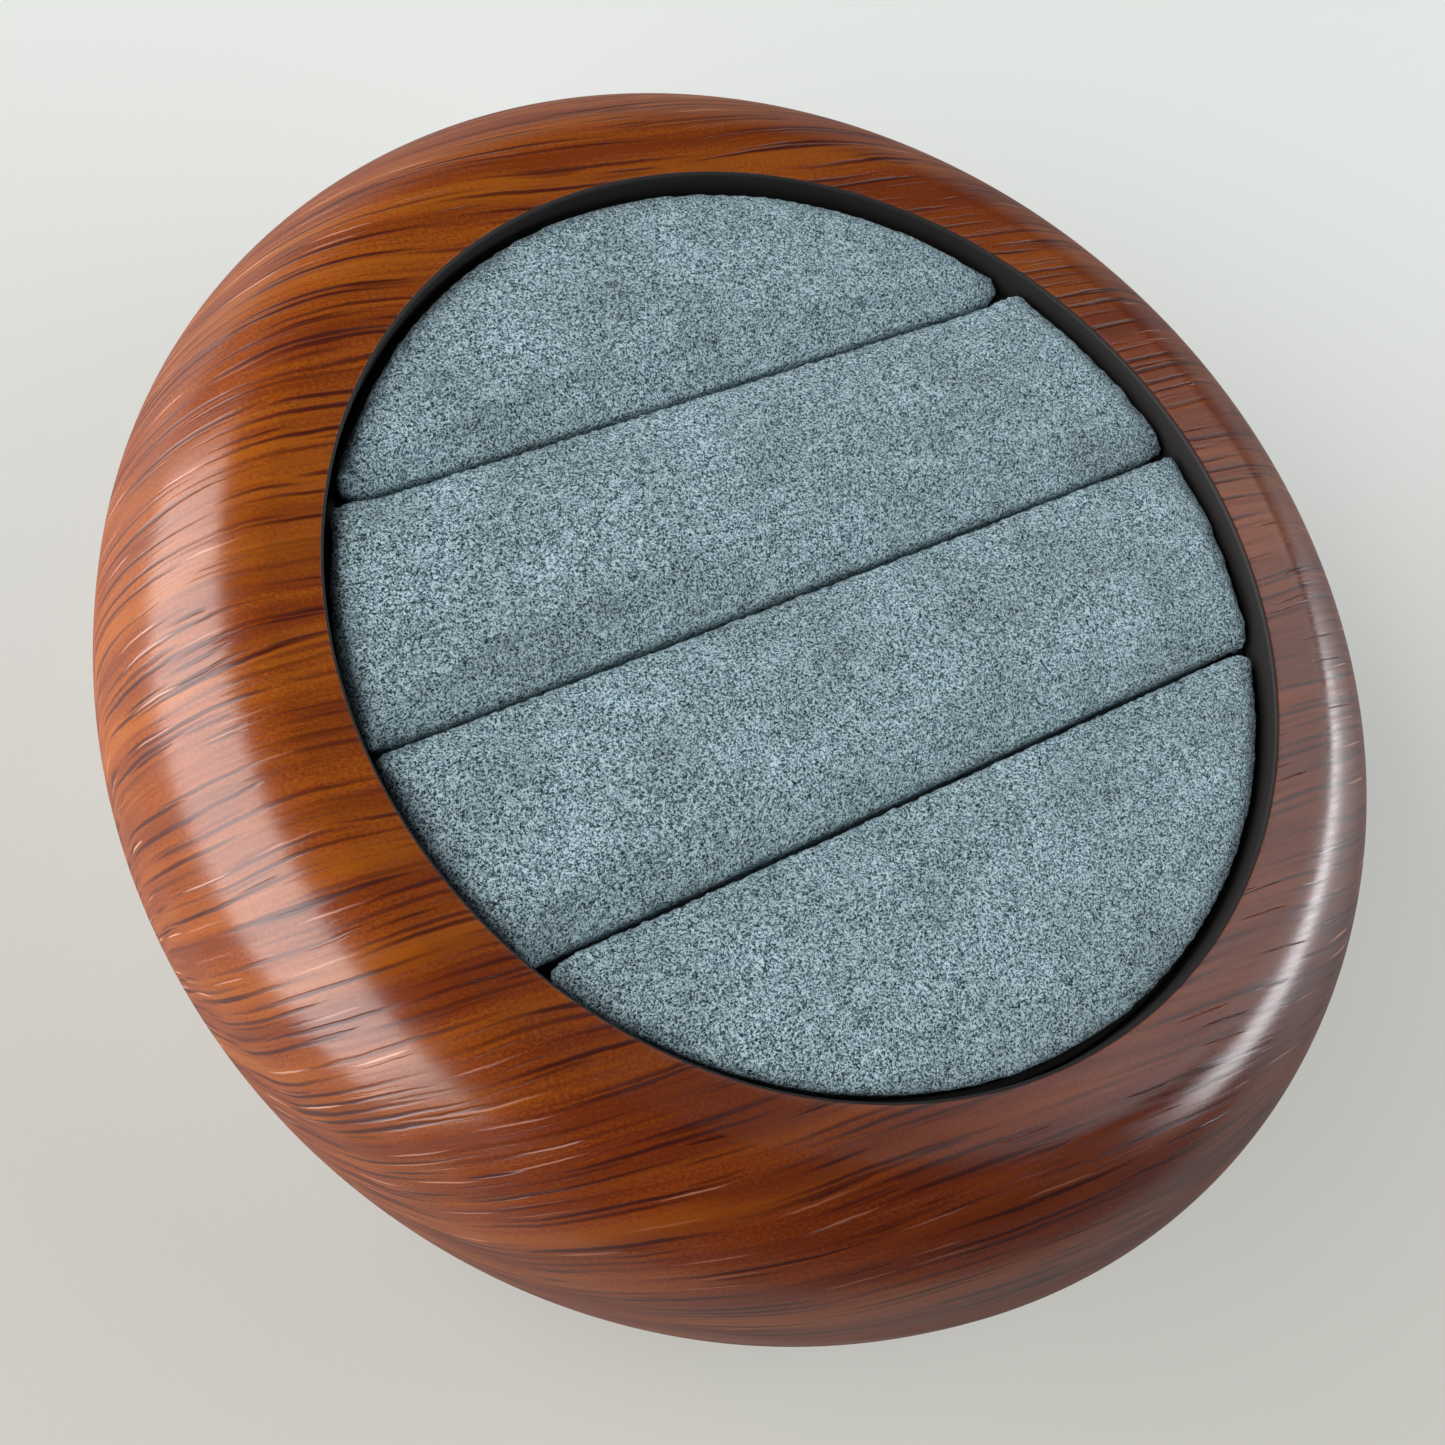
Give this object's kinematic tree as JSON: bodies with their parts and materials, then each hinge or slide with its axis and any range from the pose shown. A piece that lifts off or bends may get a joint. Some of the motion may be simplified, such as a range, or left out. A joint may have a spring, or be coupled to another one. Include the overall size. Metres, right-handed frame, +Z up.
{
  "type": "bangle box",
  "caption": "Round pebble-shaped bangle box body in wood-grain finish, with a lined recess and a lift-out insert of cushioned suede strips.",
  "frame": {"origin": "on the floor, at the middle of the foot pad", "axes": "+Z up out of the recess; X along the slits of the insert; Y across the strips"},
  "size_m": [0.1102, 0.1102, 0.032],
  "materials": {
    "wood_film": "moulded shell with an embossed wood-grain film, satin",
    "black_plastic": "moulded, matt black",
    "felt": "pressed felt",
    "screw_steel": "zinc plated",
    "grey_board": "raw greyboard",
    "foam": "open-cell foam",
    "suede": "brushed microsuede, matt"
  },
  "bodies": {
    "box_body": {"upper_shell": "wood_film", "lower_shell": "wood_film", "recess_cup": "black_plastic", "foot_pad": "felt", "shell_screw_1": "screw_steel", "shell_screw_2": "screw_steel", "shell_screw_3": "screw_steel", "shell_screw_4": "screw_steel"},
    "insert": {"insert_board": "grey_board", "foam_strip_1": "foam", "foam_strip_2": "foam", "foam_strip_3": "foam", "foam_strip_4": "foam", "suede_cover_1": "suede", "suede_cover_2": "suede", "suede_cover_3": "suede", "suede_cover_4": "suede"}
  },
  "joints": [
    {"name": "insert_lift", "type": "slide", "parent": "box_body", "child": "insert", "axis": [0, 0, 1], "range_m": [0, 0.02]}
  ]
}
